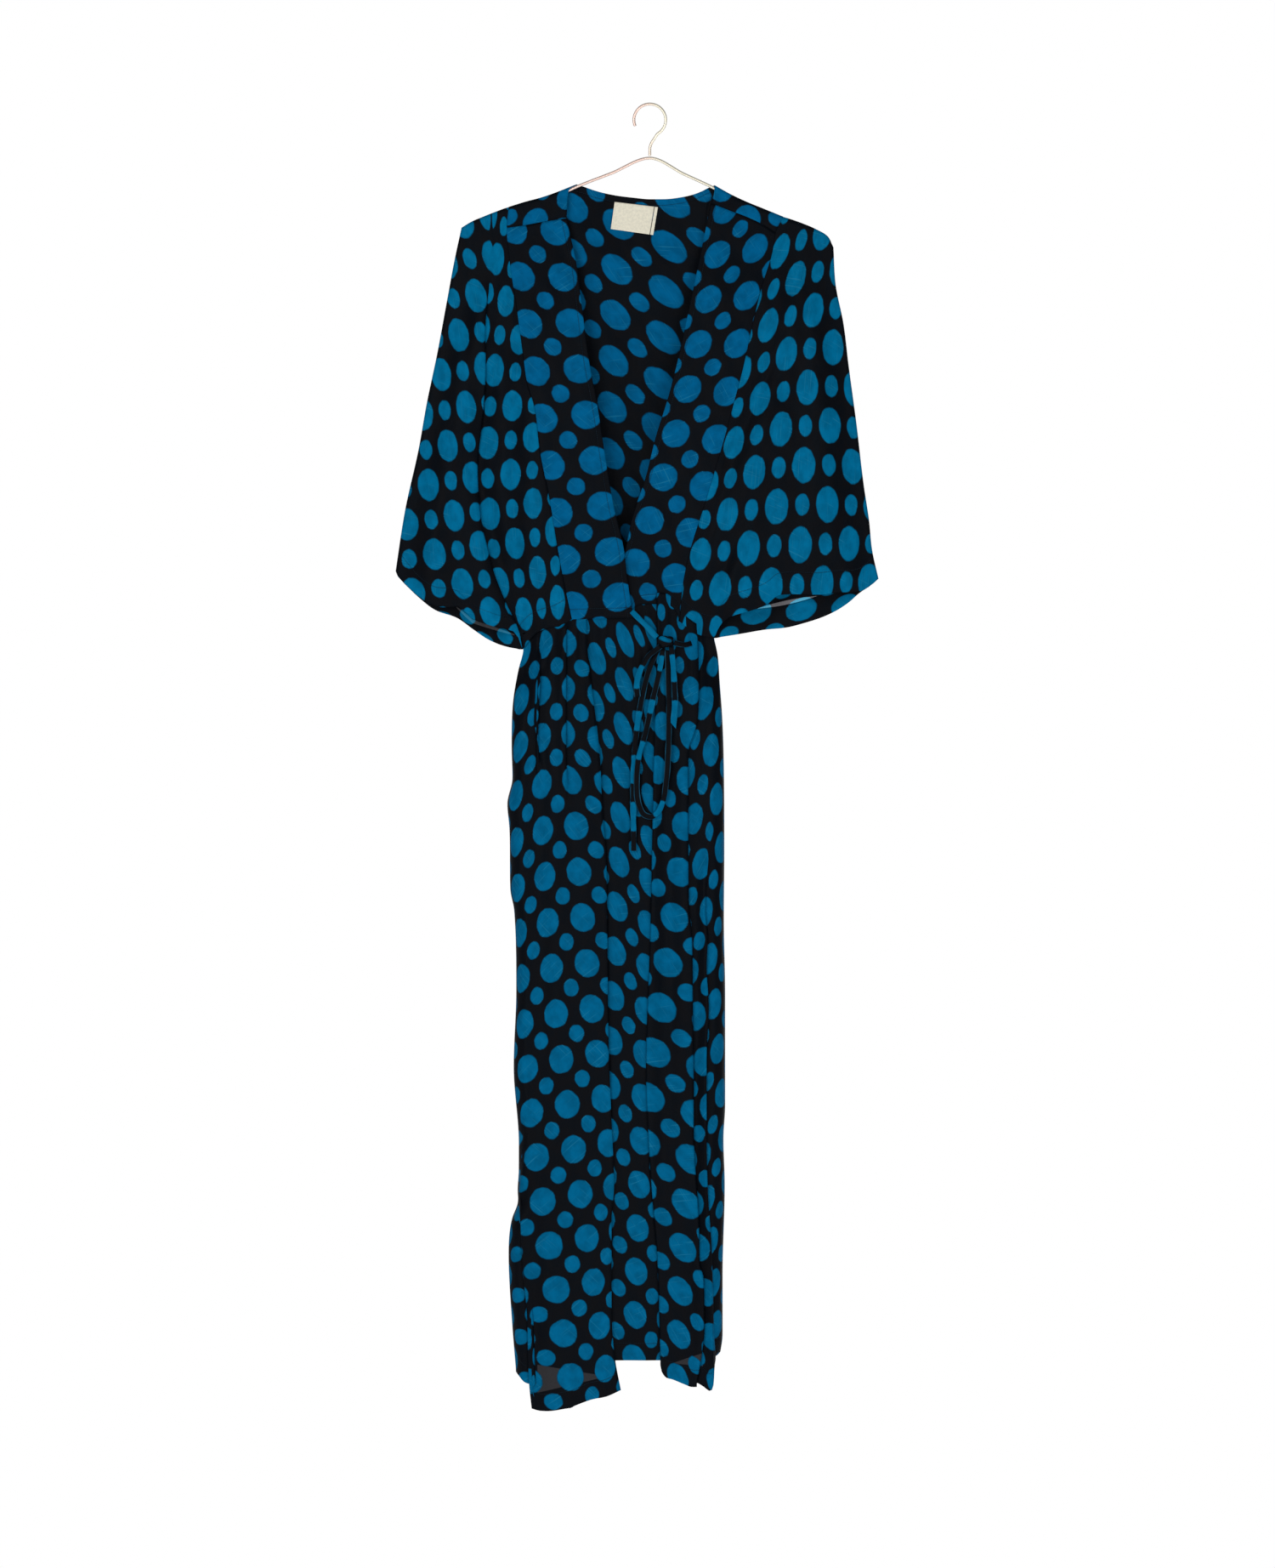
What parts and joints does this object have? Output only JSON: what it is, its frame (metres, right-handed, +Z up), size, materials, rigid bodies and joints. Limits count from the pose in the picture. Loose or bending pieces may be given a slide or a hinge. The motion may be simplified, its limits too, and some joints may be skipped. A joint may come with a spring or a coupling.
{
  "type": "wrap dress on a wire hanger",
  "caption": "Long silk wrap dress with wide elbow-length sleeves, a side bow and a polka-dot pattern, hanging flat on a thin wire hanger with a plain hook.",
  "frame": {"origin": "the inside top of the hanger's hook, where it rests on a rail", "axes": "+Z up, +X to the viewer's right when facing the dress's front, the front faces -Y"},
  "size_m": [0.5692, 0.0613, 1.5377],
  "materials": {
    "silk": "thin silk with a soft sheen, near-black with irregular blue dots of two sizes",
    "tie_silk": "the same silk, cut narrow, so more of its blue shows",
    "wire": "smooth copper-coloured plating",
    "label_cloth": "plain woven label, beige"
  },
  "bodies": {
    "root": {"hanger_arms": "wire", "hanger_hook": "wire", "back_bodice": "silk", "front_bodice_left": "silk", "front_bodice_right": "silk", "sleeve_left": "silk", "sleeve_right": "silk", "skirt_front_left": "silk", "skirt_front_right": "silk", "skirt_back": "silk", "tie_strap_left": "tie_silk", "tie_strap_right": "tie_silk", "tie_knot": "tie_silk", "bow_loop_short": "tie_silk", "bow_loop_long": "tie_silk", "tie_end_short": "tie_silk", "tie_end_long": "tie_silk", "neck_label": "label_cloth"}
  },
  "joints": []
}
